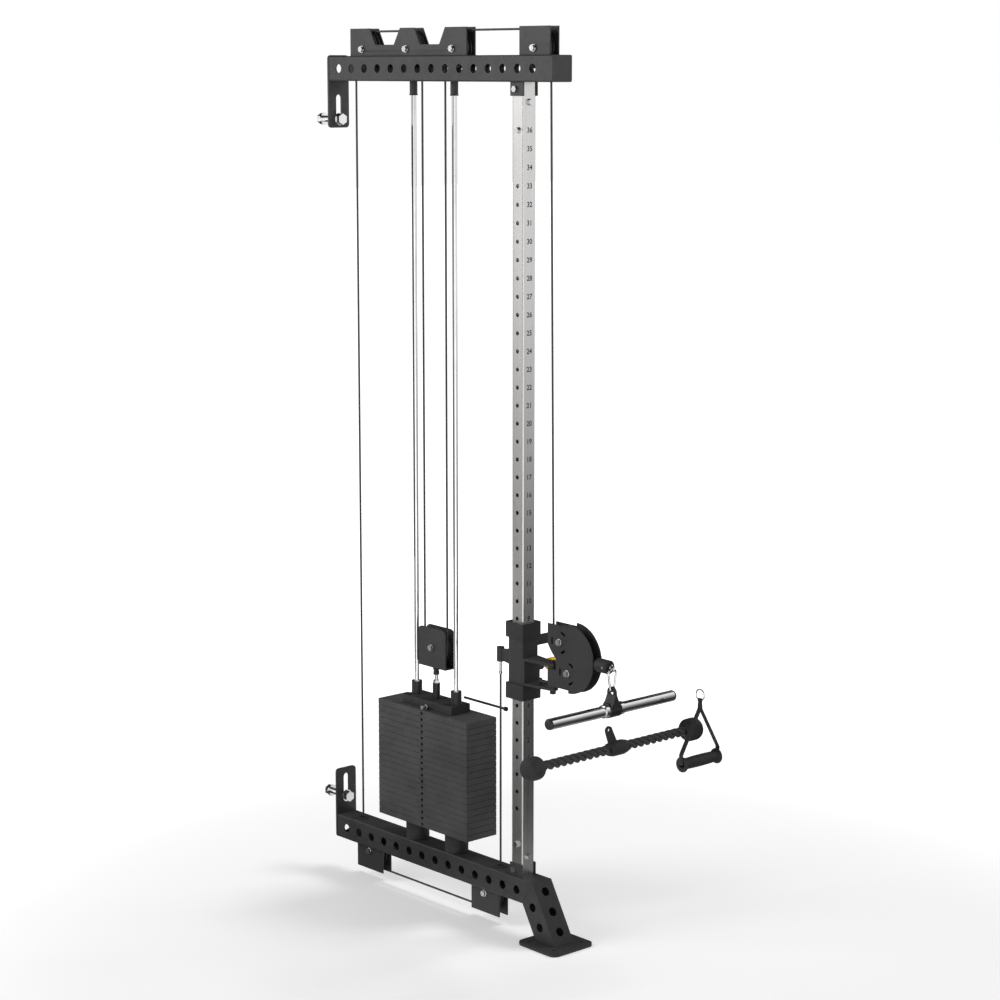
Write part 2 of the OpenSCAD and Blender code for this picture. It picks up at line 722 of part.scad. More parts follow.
module cable_frame() {
  color([0.07, 0.07, 0.07]) {
    wrap(x_base_front, z_low_axle, pulley_r, -90, 90);
    xcyl(0, z_low_axle - pulley_r, x_rear, x_base_front, cable_d);
    wrap(x_rear, z_low_axle, pulley_r, 180, 90);
    vcable(x_riser, z_low_axle, z_top_axle);
    wrap(x_rear, z_top_axle, pulley_r, 90, 90);
    xcyl(0, z_top_axle + pulley_r, x_rear, x_mid, cable_d);
    wrap(x_mid, z_top_axle, pulley_r, 0, 90);
    wrap(x_return, z_top_axle, pulley_r, 90, 90);
    xcyl(0, z_top_axle + pulley_r, x_return, x_front, cable_d);
    wrap(x_front, z_top_axle, pulley_r, 0, 90);
  }
}

module cable_block_runs() {
  color([0.07, 0.07, 0.07]) {
    vcable(x_left, block_axle_z, z_top_axle);
    vcable(x_right, block_axle_z, z_top_axle);
  }
}

// Slanted run from the top front pulley to the swivel's upper pulley
module cable_front_drop() {
  dx = su_x - swivel_pulley_r - x_drop;
  dz = su_z - z_top_axle;
  color([0.07, 0.07, 0.07]) translate([x_drop, 0, z_top_axle]) rotate([0, atan2(dx, dz), 0])
    cylinder(h = sqrt(dx * dx + dz * dz) - 0.1, d = cable_d);
}

module cable_anchor() {
  color([0.07, 0.07, 0.07]) vcable(-anchor_back, z_low_axle, anchor_z);
}

module top_plate() { color([0.13, 0.13, 0.14]) weight(top_plate_z); }

module head_block() {
  color([0.1, 0.1, 0.1]) {
    difference() {
      translate([-stack_back - head_l / 2, -head_w / 2, head_z]) cube([head_l, head_w, head_h]);
      for (s = [-1, 1]) translate([-stack_back + s * rod_half, 0, head_z - 1]) cylinder(h = head_h + 2, d = rod_d + 1);
      translate([-stack_back, 0, head_z - 1]) cylinder(h = head_h + 2, d = stem_d + 2 * fit);
      ycyl(-stack_back, head_z + 7, -head_w, head_w, 7 + 2 * fit);
    }
    for (s = [-1, 1]) translate([-stack_back + s * rod_half, 0, head_top]) difference() {
      cylinder(h = head_sleeve_h, d = head_sleeve_d);
      translate([0, 0, -1]) cylinder(h = head_sleeve_h + 2, d = rod_d + 2 * run);
    }
  }
}

module selector_stem() {
  color([0.1, 0.1, 0.1]) difference() {
    translate([-stack_back, 0, stack_z + 2]) cylinder(h = stem_top - stack_z - 2, d = stem_d);
    for (i = [0:plate_n - 1]) ycyl(-stack_back, stack_z + (i + 0.5) * plate_h, -stem_d, stem_d, pick_d);
    ycyl(-stack_back, head_z + 7, -stem_d, stem_d, 7 + 2 * fit);
    translate([-stack_back, 0, stem_top - 18]) cylinder(h = 20, d = 9 + 2 * fit);
  }
}

// Cross bolt, stud, nuts and axle set of the stack head
module head_bolts() {
  color([0.8, 0.8, 0.82]) {
    ycyl(-stack_back, head_z + 7, -head_w / 2 - 13, head_w / 2 - 4, 7);
    difference() {
      ycyl(-stack_back, head_z + 7, -head_w / 2 - 4, -head_w / 2, 12);
      ycyl(-stack_back, head_z + 7, -head_w, 0, 7 + 2 * fit);
    }
    difference() {
      ycyl(-stack_back, head_z + 7, -head_w / 2 - 17, -head_w / 2 - 12, 11);
      ycyl(-stack_back, head_z + 7, -head_w / 2 - 13, 0, 7 + 2 * fit);
    }
    translate([-stack_back, 0, stem_top - 16]) cylinder(h = block_up + 16 - neck_h + 8, d = 9);
    translate([-stack_back, 0, stem_top]) difference() {
      cylinder(h = 7, d = 14 / cos(30), $fn = 6);
      translate([0, 0, -1]) cylinder(h = 9, d = 9 + 2 * fit);
    }
    axle_set(-stack_back, block_axle_z);
  }
}

module block_frame() {
  r = 14;
  w = block_w / 2;
  color([0.1, 0.1, 0.11]) {
    for (s = [0, 1]) mirror([0, s, 0]) difference() {
      xz(half_gap, bracket_t) {
        translate([-stack_back - w, block_z]) square([block_w, block_h - r]);
        translate([-stack_back - w + r, block_z]) square([block_w - 2 * r, block_h]);
        for (i = [-1, 1]) translate([-stack_back + i * (w - r), block_z + block_h - r]) circle(r);
      }
      ycyl(-stack_back, block_axle_z, 0, 20, axle_d + 2 * fit);
    }
    translate([-stack_back - w, -half_gap, block_z]) cube([block_w, bracket_gap, 2.8]);
    difference() {
      union() {
        translate([-stack_back, 0, block_z - 10]) cylinder(h = 10, d1 = 14, d2 = 19);
        translate([-stack_back, 0, block_z - neck_h]) cylinder(h = 7, d = 15);
        translate([-stack_back, 0, block_z - neck_h + 6]) cylinder(h = 6, d = 12);
      }
      translate([-stack_back, 0, block_z - neck_h - 1]) cylinder(h = 9, d = 9 + 2 * fit);
    }
  }
}

module block_pulley() { color([0.05, 0.05, 0.05]) wheel(-stack_back, block_axle_z, pulley_r, rim_h - 0.3); }

module cable_block_wrap() {
  color([0.07, 0.07, 0.07]) wrap(-stack_back, block_axle_z, pulley_r, 180, 180);
}

module trolley_body() {
  yb = body_w / 2;
  color([0.12, 0.12, 0.13]) {
    difference() {
      union() {
        translate([up_x, 0, body_z]) linear_extrude(body_h) rsq(body_w, body_w, 3);
        xz(-arm_t / 2, arm_t) polygon([
          [-anchor_back, barrel_z + 5], [-upright_back - upright_w / 2 - 2, barrel_z - 4],
          [-upright_back - upright_w / 2 - 2, barrel_z + barrel_h + 4], [-anchor_back, barrel_z + barrel_h - 5]
        ]);
        translate([-anchor_back, 0, barrel_z]) cylinder(h = barrel_h, d = 18.5);
      }
      translate([up_x, 0, body_z - 1]) linear_extrude(body_h + 2) rsq(bore_w, bore_w, 2);
      ycyl(up_x, hole_z, 0, body_w, pin_d + 2 * run);
      translate([-anchor_back, 0, barrel_z - 1]) cylinder(h = ferrule_top - barrel_z + 1.5, d = 6.5 + 2 * fit);
    }
    difference() {
      union() {
        ycyl(up_x, hole_z, yb, yb + pin_barrel_l, 17);
        yhex(up_x, hole_z, yb, yb + 8, 20);
      }
      ycyl(up_x, hole_z, yb - 1, yb + pin_barrel_l + 1, pin_d + 2 * run);
    }
  }
}

module trolley_collars() {
  color([0.09, 0.09, 0.09]) for (z = [tro_z, body_top]) translate([up_x, 0, z]) linear_extrude(collar_h) difference() {
    rsq(collar_w, collar_w, 3);
    rsq(bore_w, bore_w, 2);
  }
}

module cable_ferrule() {
  color([0.75, 0.75, 0.77]) {
    translate([-anchor_back, 0, anchor_z]) cylinder(h = 5, d = 9);
    translate([-anchor_back, 0, anchor_z + 4.5]) cylinder(h = ferrule_top - anchor_z - 4.5, d = 6.5);
  }
}

module trolley_handle() {
  y0 = body_w / 2;
  color([0.07, 0.07, 0.07]) {
    ycyl(up_x, tro_z + 131.7, y0, y0 + side_grip_l - 4, side_grip_d);
    ycyl(up_x, tro_z + 131.7, y0 + side_grip_l - 5, y0 + side_grip_l, side_grip_d - 4);
  }
}

// One flange of the yoke, tapering to its round tip
module flange(z) {
  translate([0, 0, z]) linear_extrude(yoke_t) {
    polygon([[yoke_x, -25], [sw_x, -yoke_tip], [sw_x, yoke_tip], [yoke_x, 25]]);
    translate([sw_x, 0]) circle(yoke_tip);
  }
}

module yoke() {
  color([0.12, 0.12, 0.13]) difference() {
    union() {
      translate([yoke_x, -25, body_z]) cube([yoke_t, 50, yoke_h]);
      flange(body_z);
      flange(body_z + yoke_h - yoke_t);
    }
    translate([sw_x, 0, body_z - 1]) cylinder(h = yoke_h + 2, d = axle_d + 2 * fit);
    translate([sw_x - stop_back, 0, body_z - 1]) cylinder(h = yoke_t + 2, d = 8 + 2 * fit);
  }
}

module yoke_bolts() {
  top = body_z + yoke_h;
  color([0.75, 0.75, 0.77]) {
    translate([sw_x, 0, body_z - 10]) cylinder(h = yoke_h + 10 + eps, d = axle_d);
    translate([sw_x, 0, top]) cylinder(h = 5.3, d = hex_w / cos(30), $fn = 6);
    translate([sw_x, 0, body_z - 9]) difference() {
      cylinder(h = 9, d = hex_w / cos(30), $fn = 6);
      translate([0, 0, -1]) cylinder(h = 11, d = axle_d + 2 * fit);
    }
    translate([sw_x - stop_back, 0, body_z - 5]) cylinder(h = 5, d = hex_w / cos(30), $fn = 6);
    translate([sw_x - stop_back, 0, body_z - 1]) cylinder(h = yoke_t + 16, d = 8);
    xcyl(0, body_z + yoke_t + 8, sw_x - stop_back, sw_x - 17, 9);
  }
}

// The plunger is drawn pulled clear of the upright
module pop_pin() {
  y0 = upright_w / 2 + eps;
  yk = y0 + 57.2;
  color([0.75, 0.75, 0.77]) ycyl(up_x, hole_z, y0, yk + 14, pin_d);
}

module pin_knob() {
  yk = upright_w / 2 + eps + 57.2;
  color([0.95, 0.68, 0.02]) difference() {
    union() {
      ycyl(up_x, hole_z, yk, yk + 8, knob_d - 9);
      ycyl(up_x, hole_z, yk + 7, yk + knob_l - 4, knob_d);
      ycyl(up_x, hole_z, yk + knob_l - 5, yk + knob_l, knob_d - 5);
    }
    ycyl(up_x, hole_z, yk - 1, yk + 14, pin_d + 2 * fit);
  }
}

// Side plate outline of the swivel head
module head_outline() {
  difference() {
    union() {
      intersection() {
        translate([arc_x, tail_z]) circle(swivel_arc);
        translate([arc_x, tail_z - 100]) square([100, 200]);
      }
      translate([sw_x - 3, head_low]) square([arc_x - sw_x + 4, head_up - head_low]);
    }
    difference() {
      translate([sw_x - 4, notch_low]) square([29, 61]);
      translate([arc_x + 20.8, head_up + 3.1]) circle(arc_x + 48.8);
    }
  }
}

// Three arc slots round an axle, cut through a side plate
module arc_slots(x, z) {
  for (a = [162, 42, -78]) translate([x, 20, z]) rotate([90, 0, 0]) rotate([0, 0, a])
    rotate_extrude(angle = 36) translate([22, 0]) square([5.5, 20]);
}

module swivel_head() {
  zb = body_z + yoke_t + lay;
  color([0.11, 0.11, 0.12]) {
    for (s = [0, 1]) mirror([0, s, 0]) difference() {
      xz(half_gap, bracket_t) head_outline();
      ycyl(su_x, su_z, 0, 20, axle_d + 2 * fit);
      ycyl(sl_x, sl_z, 0, 20, axle_d + 2 * fit);
      arc_slots(su_x, su_z);
      arc_slots(sl_x, sl_z);
    }
    difference() {
      union() {
        translate([sw_x, 0, zb]) cylinder(h = yoke_h - 2 * yoke_t - 2 * lay, d = bracket_gap - 0.2);
        translate([sw_x, -half_gap, head_low]) cube([16, bracket_gap, 40]);
      }
      translate([sw_x, 0, zb - 1]) cylinder(h = yoke_h, d = axle_d + 2 * run);
    }
  }
}

module swivel_axles() {
  color([0.8, 0.8, 0.82]) {
    axle_set(su_x, su_z);
    axle_set(sl_x, sl_z);
  }
}

module pulley_swivel_upper() { color([0.05, 0.05, 0.05]) wheel(su_x, su_z, swivel_pulley_r, swivel_rim); }
module pulley_swivel_lower() { color([0.05, 0.05, 0.05]) wheel(sl_x, sl_z, swivel_pulley_r, swivel_rim); }

module cable_swivel() {
  color([0.07, 0.07, 0.07]) {
    wrap(su_x, su_z, swivel_pulley_r, 180, 90);
    xcyl(0, tail_z, su_x, sl_x + 12, cable_d);
  }
}

module cable_tail() {
  color([0.07, 0.07, 0.07]) xcyl(0, tail_z, sl_x + 12, stop_x + 12, cable_d);
}

module cable_stopper() {
  color([0.06, 0.06, 0.06]) translate([stop_x, 0, tail_z]) rotate([0, 90, 0]) difference() {
    union() {
      cylinder(h = 3, d1 = stopper_d - 6, d2 = stopper_d);
      translate([0, 0, 3]) cylinder(h = stopper_l - 6, d = stopper_d);
      translate([0, 0, stopper_l - 3]) cylinder(h = 3, d1 = stopper_d, d2 = stopper_d - 6);
    }
    translate([0, 0, -1]) cylinder(h = 13, d = cable_d + 2 * fit);
    translate([0, 0, stopper_l - 12]) cylinder(h = 13, d = hook_d + 2 * fit);
    translate([0, 0, stopper_l - cup_deep]) cylinder(h = cup_deep + 1, d = stopper_d - 7);
    translate([0, 0, set_at]) rotate([90, 0, 0]) cylinder(h = stopper_d, d = 6 + 2 * fit);
  }
}

module handle_eye() {
  x1 = stop_x + stopper_l;
  color([0.8, 0.8, 0.82]) {
    translate([hang_x, 0, tail_z]) rotate([90, 0, 0]) rotate_extrude() translate([ring_r, 0]) circle(d = ring_w);
    xcyl(0, tail_z, x1 - 12, hang_x - ring_r, 4.4);
    ycyl(stop_x + set_at, tail_z, -stopper_d / 2 - 0.8, -2.6, 6);
  }
}

// Arc of the carabiner's wire in the YZ plane
module hook_arc(z, r, a0, da) {
  translate([hang_x, 0, z]) rotate([90, 0, 90]) rotate([0, 0, a0])
    rotate_extrude(angle = da) translate([r, 0]) circle(d = hook_d);
}

// Straight wire of the carabiner's leg on side s, from length a to b above its lower end
module hook_wire(s, a, b, d) {
  z2 = hook_low + hook_r2;
  translate([hang_x, s * hook_r2 * cos(hook_phi), z2 - hook_r2 * sin(hook_phi)]) rotate([-s * hook_phi, 0, 0])
    translate([0, 0, a]) cylinder(h = b - a, d = d);
}

module carabiner() {
  color([0.82, 0.82, 0.84]) {
    hook_arc(hook_top - hook_r1, hook_r1, -hook_phi, 180 + 2 * hook_phi);
    hook_arc(hook_low + hook_r2, hook_r2, 180 + hook_phi, 180 - 2 * hook_phi);
    hook_wire(-1, -0.8, hook_leg + 0.8, hook_d + 0.3);
    hook_wire(1, -0.8, 3, hook_d + 0.3);
    hook_wire(1, hook_leg - 1.5, hook_leg + 0.8, hook_d + 0.3);
  }
}

module carabiner_gate() {
  z2 = hook_low + hook_r2;
  p = 3 + hook_d / 2 + run;
  color([0.82, 0.82, 0.84]) {
    hook_wire(1, p, hook_leg - 2, hook_d);
    translate([hang_x, hook_r2 * cos(hook_phi), z2 - hook_r2 * sin(hook_phi)]) rotate([-hook_phi, 0, 0])
      translate([0, 0, p]) sphere(d = hook_d);
  }
}

// Front outline of the bracket's lug
module lug_front() {
  foot = hub_d / 2 - 0.3;
  polygon([[hang_x - foot, bar_z], [hang_x + foot, bar_z], [hang_x + lug_r, ear_z], [hang_x - lug_r, ear_z]]);
  translate([hang_x, ear_z]) circle(lug_r);
}

// Side outline of the bracket's lug, thinning from the hub to the eye
module lug_side() {
  h = hub_l / 2;
  e = eye_t / 2;
  polygon([
    [-h, bar_z], [h, bar_z], [h, bar_z + 8], [8, bar_z + 20], [e, ear_z - 5], [e, ear_z + 2 * lug_r],
    [-e, ear_z + 2 * lug_r], [-e, ear_z - 5], [-8, bar_z + 20], [-h, bar_z + 8]
  ]);
}

module bar_bracket() {
  color([0.08, 0.08, 0.08]) difference() {
    union() {
      ycyl(hang_x, bar_z, -hub_l / 2, hub_l / 2, hub_d);
      intersection() {
        xz(-hub_l / 2, hub_l) lug_front();
        translate([hang_x - hub_d, 0, 0]) rotate([90, 0, 90]) linear_extrude(2 * hub_d) lug_side();
      }
    }
    ycyl(hang_x, bar_z, -hub_l, hub_l, bar_d + 2 * run);
    ycyl(hang_x, ear_z, -hub_l, hub_l, eye_d);
  }
}

module pull_bar() {
  y1 = bar_l / 2 - 8;
  color([0.85, 0.85, 0.87]) {
    difference() {
      ycyl(hang_x, bar_z, -y1, y1, bar_d);
      ycyl(hang_x, bar_z, -y1 - 1, y1 + 1, bar_d - 5);
    }
    for (s = [-1, 1]) difference() {
      translate([0, s * (hub_l / 2 + run + collar_l / 2), 0])
        ycyl(hang_x, bar_z, -collar_l / 2, collar_l / 2, bar_d + 5);
      ycyl(hang_x, bar_z, -hub_l, hub_l, bar_d + 2 * fit);
    }
  }
}

module bar_caps() {
  y1 = bar_l / 2 - 8;
  color([0.06, 0.06, 0.06]) for (s = [0, 1]) mirror([0, s, 0]) {
    translate([hang_x, y1, bar_z]) rotate([-90, 0, 0]) rotate_extrude() intersection() {
      rsq(bar_d, 16, 7);
      square([bar_d, 16]);
    }
    ycyl(hang_x, bar_z, y1 - 14, y1 + 1, bar_d - 5 - 2 * fit);
  }
}

module pull_rope() {
  h = rope_l / 2;
  color([0.05, 0.05, 0.05]) ycyl(rope_x, rope_z, rope_y - h, rope_y + h, rope_d);
}

// Rounded rubber stop of the rope, centred on y
module rope_ball(y, inner) {
  difference() {
    translate([rope_x, y, rope_z]) rotate([90, 0, 0]) rotate_extrude() intersection() {
      rsq(ball_d, ball_l, 18);
      translate([0, -ball_l]) square([ball_d, 2 * ball_l]);
    }
    ycyl(rope_x, rope_z, min(y, y + inner), max(y, y + inner), rope_d + 2 * fit);
  }
}

module rope_fittings() {
  h = rope_l / 2;
  color([0.07, 0.07, 0.07]) {
    rope_ball(rope_y - h, ball_l);
    rope_ball(rope_y + h, -ball_l);
    difference() {
      union() {
        translate([rope_x, -40, rope_z]) rotate([90, 0, 0]) cylinder(h = 12, d1 = 34, d2 = 28);
        ycyl(rope_x, rope_z, -40, -8, 34);
        translate([rope_x, -8, rope_z]) rotate([-90, 0, 0]) cylinder(h = 12, d1 = 34, d2 = 28);
        translate([rope_x - 2.5, 0, 0]) rotate([90, 0, 90]) linear_extrude(5) {
          polygon([[-50, rope_z + 13.5], [-25, rope_z + 14], [-41.9, rope_z + 48], [-60.4, rope_z + 43]]);
          translate([-51, rope_z + 45.3]) circle(9.6);
        }
      }
      ycyl(rope_x, rope_z, -60, 20, rope_d + 2 * fit);
      xcyl(-51, rope_z + 46, rope_x - 5, rope_x + 5, 8);
    }
  }
}

module grip_ring() {
  color([0.82, 0.82, 0.84]) translate(grip_pos) translate([0, 0, loop_z + 12.75]) rotate([90, 0, 0])
    rotate_extrude() translate([12.75, 0]) circle(d = 3.5);
}

// Strap profile in Y and Z, made strap_w wide along X
module band() {
  translate([-strap_w / 2, 0, 0]) rotate([90, 0, 90]) linear_extrude(strap_w) children();
}

module grip_strap() {
  t = strap_t;
  yo = grip_l / 2 + 0.3;
  ri = 2.6;
  loop_w = 9;
  color([0.05, 0.05, 0.05]) translate(grip_pos) {
    band() translate([-yo - t, -t / 2]) square([2 * (yo + t), t]);
    for (s = [0, 1]) mirror([0, s, 0]) band() {
      translate([yo, -t / 2]) square([t, 22 + t / 2]);
      polygon([[yo, 21], [yo + t, 22], [t, split_z], [0, split_z], [0, split_z - 5]]);
    }
    band() translate([-t, split_z - 4]) square([2 * t, loop_z - split_z - ri + 2.4]);
    difference() {
      translate([-loop_w / 2, 0, loop_z + 0.45]) rotate([0, 90, 0]) cylinder(h = loop_w, r = ri + t);
      translate([-strap_w, 0, loop_z + 0.45]) rotate([0, 90, 0]) cylinder(h = 2 * strap_w, r = ri);
    }
  }
}

module strap_grip() {
  h = grip_l / 2;
  color([0.06, 0.06, 0.06]) translate(grip_pos) difference() {
    union() {
      ycyl(0, 0, -h, h, grip_d);
      for (s = [-1, 1]) ycyl(0, 0, s * (h - end_disc / 2) - end_disc / 2, s * (h - end_disc / 2) + end_disc / 2, grip_d + 9);
    }
    ycyl(0, 0, -h - 1, h + 1, strap_w + 4);
  }
}

base_beam();
front_leg();
foot_plate();
foot_pad();
top_beam();
rack_plates();
rack_bolts();
upper_brackets();
lower_brackets();
frame_bolts();
pulley_top_rear();
pulley_top_middle();
pulley_top_return();
pulley_top_front();
pulley_base_rear();
pulley_base_front();
upright();
frame_bushes();
guide_rods();
stack_bumpers();
weight_plates();
selector_pin();
cable_frame();
cable_block_runs();
cable_front_drop();
cable_anchor();
top_plate();
head_block();
selector_stem();
head_bolts();
block_frame();
block_pulley();
cable_block_wrap();
trolley_body();
trolley_collars();
cable_ferrule();
trolley_handle();
yoke();
yoke_bolts();
pop_pin();
pin_knob();
swivel_head();
swivel_axles();
pulley_swivel_upper();
pulley_swivel_lower();
cable_swivel();
cable_tail();
cable_stopper();
handle_eye();
carabiner();
carabiner_gate();
bar_bracket();
pull_bar();
bar_caps();
pull_rope();
rope_fittings();
grip_ring();
grip_strap();
strap_grip();
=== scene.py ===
"""Looks of the single cable pulley machine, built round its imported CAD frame."""

import json
import math

import bmesh
import bpy
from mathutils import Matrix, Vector


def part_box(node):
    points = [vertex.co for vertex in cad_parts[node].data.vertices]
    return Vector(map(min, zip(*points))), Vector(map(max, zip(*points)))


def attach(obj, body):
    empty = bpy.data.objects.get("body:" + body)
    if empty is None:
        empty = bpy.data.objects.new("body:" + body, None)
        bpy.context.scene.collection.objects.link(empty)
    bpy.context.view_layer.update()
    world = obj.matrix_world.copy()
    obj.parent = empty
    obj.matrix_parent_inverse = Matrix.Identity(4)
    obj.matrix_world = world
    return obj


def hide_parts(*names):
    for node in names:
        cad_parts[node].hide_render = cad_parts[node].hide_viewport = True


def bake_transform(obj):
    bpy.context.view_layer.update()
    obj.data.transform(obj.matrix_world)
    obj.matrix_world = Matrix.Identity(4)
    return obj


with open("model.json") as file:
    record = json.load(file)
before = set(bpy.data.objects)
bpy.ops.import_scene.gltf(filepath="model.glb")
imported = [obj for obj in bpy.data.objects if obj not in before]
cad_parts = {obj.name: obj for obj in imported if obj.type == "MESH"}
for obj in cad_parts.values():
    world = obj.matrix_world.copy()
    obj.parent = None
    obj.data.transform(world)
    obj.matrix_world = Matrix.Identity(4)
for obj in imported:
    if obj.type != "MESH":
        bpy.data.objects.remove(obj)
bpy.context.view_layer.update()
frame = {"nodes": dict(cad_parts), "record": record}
NODES = frame["nodes"]
scene = bpy.context.scene
scene.view_settings.view_transform = "Standard"

# ---------------------------------------------------------------- camera
CAM_AT = Vector((4.09367, -3.82665, 2.03771))
CAM_AZIMUTH = math.radians(48.27)
CAM_PITCH = math.radians(9.836)
CAM_LENS = 89.43
CAM_SENSOR = 36.0
cam_data = bpy.data.cameras.new("camera")
cam_data.lens = CAM_LENS
cam_data.sensor_width = CAM_SENSOR
cam_data.clip_start, cam_data.clip_end = 0.05, 100.0
camera = bpy.data.objects.new("camera", cam_data)
look = Vector((
    -math.sin(CAM_AZIMUTH) * math.cos(CAM_PITCH),
    math.cos(CAM_AZIMUTH) * math.cos(CAM_PITCH),
    -math.sin(CAM_PITCH),
))
camera.location = CAM_AT
camera.rotation_euler = look.to_track_quat("-Z", "Y").to_euler()
scene.collection.objects.link(camera)
scene.camera = camera


# ---------------------------------------------------------------- node helpers
class Shader:
    """A Principled material whose nodes are added by short calls."""

    def __init__(self, name, color, rough, metallic=0.0, **sockets):
        self.mat = bpy.data.materials.new(name)
        self.mat.use_nodes = True
        self.tree = self.mat.node_tree
        self.bsdf = self.tree.nodes["Principled BSDF"]
        self.set("Base Color", (*color, 1.0))
        self.set("Roughness", rough)
        self.set("Metallic", metallic)
        for key, value in sockets.items():
            self.set(key.replace("_", " "), value)
        self.coords = None

    def set(self, socket, value):
        self.bsdf.inputs[socket].default_value = value

    def node(self, kind, **props):
        made = self.tree.nodes.new(kind)
        for key, value in props.items():
            setattr(made, key, value)
        return made

    def link(self, a, b):
        self.tree.links.new(a, b)

    def place(self, scale=(1, 1, 1)):
        """The object's own coordinates, scaled."""
        if self.coords is None:
            self.coords = self.node("ShaderNodeTexCoord").outputs["Object"]
        mapping = self.node("ShaderNodeMapping")
        mapping.inputs["Scale"].default_value = scale
        self.link(self.coords, mapping.inputs["Vector"])
        return mapping.outputs["Vector"]

    def noise(self, scale, detail=3.0, stretch=(1, 1, 1), rough=0.55):
        made = self.node("ShaderNodeTexNoise")
        made.inputs["Scale"].default_value = scale
        made.inputs["Detail"].default_value = detail
        made.inputs["Roughness"].default_value = rough
        self.link(self.place(stretch), made.inputs["Vector"])
        return made.outputs["Fac"]

    def remap(self, value, low, high, from_low=0.0, from_high=1.0):
        made = self.node("ShaderNodeMapRange")
        made.inputs["From Min"].default_value = from_low
        made.inputs["From Max"].default_value = from_high
        made.inputs["To Min"].default_value = low
        made.inputs["To Max"].default_value = high
        self.link(value, made.inputs["Value"])
        return made.outputs["Result"]

    def vary_color(self, value, dark, light, low=0.35, high=0.65):
        ramp = self.node("ShaderNodeValToRGB")
        ramp.color_ramp.elements[0].position = low
        ramp.color_ramp.elements[1].position = high
        ramp.color_ramp.elements[0].color = (*dark, 1.0)
        ramp.color_ramp.elements[1].color = (*light, 1.0)
        self.link(value, ramp.inputs["Fac"])
        self.link(ramp.outputs["Color"], self.bsdf.inputs["Base Color"])

    def vary_rough(self, value, low, high):
        self.link(self.remap(value, low, high, 0.3, 0.7), self.bsdf.inputs["Roughness"])

    def bump(self, height, distance, strength=1.0, before=None):
        made = self.node("ShaderNodeBump")
        made.inputs["Distance"].default_value = distance
        made.inputs["Strength"].default_value = strength
        self.link(height, made.inputs["Height"])
        if before is not None:
            self.link(before, made.inputs["Normal"])
        self.link(made.outputs["Normal"], self.bsdf.inputs["Normal"])
        return made.outputs["Normal"]


def grey(v, tint=1.0):
    return (v, v, v * tint)


# ---------------------------------------------------------------- materials
def powder_coat(name, dark, light, rough=(0.42, 0.56)):
    """Fine textured powder coat: faint colour drift, orange peel and grain."""
    s = Shader(name, light, rough[1])
    s.vary_color(s.noise(9.0, 4.0), dark, light)
    s.vary_rough(s.noise(60.0, 3.0), *rough)
    peel = s.bump(s.noise(900.0, 2.0), 0.00012, 0.5)
    s.bump(s.noise(3500.0, 2.0), 0.00005, 0.5, peel)
    return s.mat


def brushed(name, dark, light, rough, stretch):
    """Brushed metal: long fine scratches along one direction."""
    s = Shader(name, light, rough[1], 1.0)
    lines = s.noise(1.0, 5.0, stretch, 0.7)
    s.vary_color(lines, dark, light, 0.25, 0.75)
    s.vary_rough(s.noise(1.0, 3.0, tuple(v * 0.6 for v in stretch)), *rough)
    s.bump(lines, 0.00003, 0.6)
    return s.mat


def polished(name, dark, light, rough):
    """Plated metal: very faint waviness and a few soft marks."""
    s = Shader(name, light, rough[1], 1.0)
    s.vary_color(s.noise(25.0, 3.0), dark, light)
    s.vary_rough(s.noise(120.0, 4.0), *rough)
    s.bump(s.noise(40.0, 1.0), 0.00002, 0.4)
    return s.mat


def moulded(name, dark, light, rough, grain=1500.0, depth=0.00005):
    """Moulded plastic or rubber with a fine mould grain."""
    s = Shader(name, light, rough[1])
    s.vary_color(s.noise(18.0, 3.0), dark, light)
    s.vary_rough(s.noise(90.0, 3.0), *rough)
    s.bump(s.noise(grain, 3.0), depth, 0.5)
    return s.mat


def cast_plate(name):
    """Painted plates: slightly uneven paint over a machined face."""
    s = Shader(name, grey(0.07), 0.5)
    s.vary_color(s.noise(14.0, 5.0), grey(0.054), grey(0.074))
    s.vary_rough(s.noise(45.0, 4.0), 0.42, 0.6)
    peel = s.bump(s.noise(500.0, 3.0), 0.00015, 0.4)
    s.bump(s.noise(2600.0, 2.0), 0.00006, 0.5, peel)
    return s.mat


def jacket(name):
    """Plastic jacket over wire rope: faint lay of the wires under it."""
    s = Shader(name, grey(0.05), 0.4)
    s.vary_color(s.noise(60.0, 2.0), grey(0.038), grey(0.058))
    wave = s.node("ShaderNodeTexWave", wave_type="BANDS", bands_direction="DIAGONAL")
    wave.inputs["Scale"].default_value = 300.0
    wave.inputs["Distortion"].default_value = 0.4
    s.link(s.place(), wave.inputs["Vector"])
    s.bump(wave.outputs["Fac"], 0.00006, 0.6)
    return s.mat


def fibres(name):
    """Twisted synthetic fibre with a soft sheen."""
    s = Shader(name, grey(0.03), 0.62, Sheen_Weight=0.15, Sheen_Roughness=0.5)
    s.vary_color(s.noise(1.0, 3.0, (900, 160, 900)), grey(0.016), grey(0.05), 0.3, 0.7)
    s.vary_rough(s.noise(200.0, 2.0), 0.5, 0.7)
    s.bump(s.noise(1.0, 4.0, (1800, 300, 1800)), 0.0002, 0.6)
    return s.mat


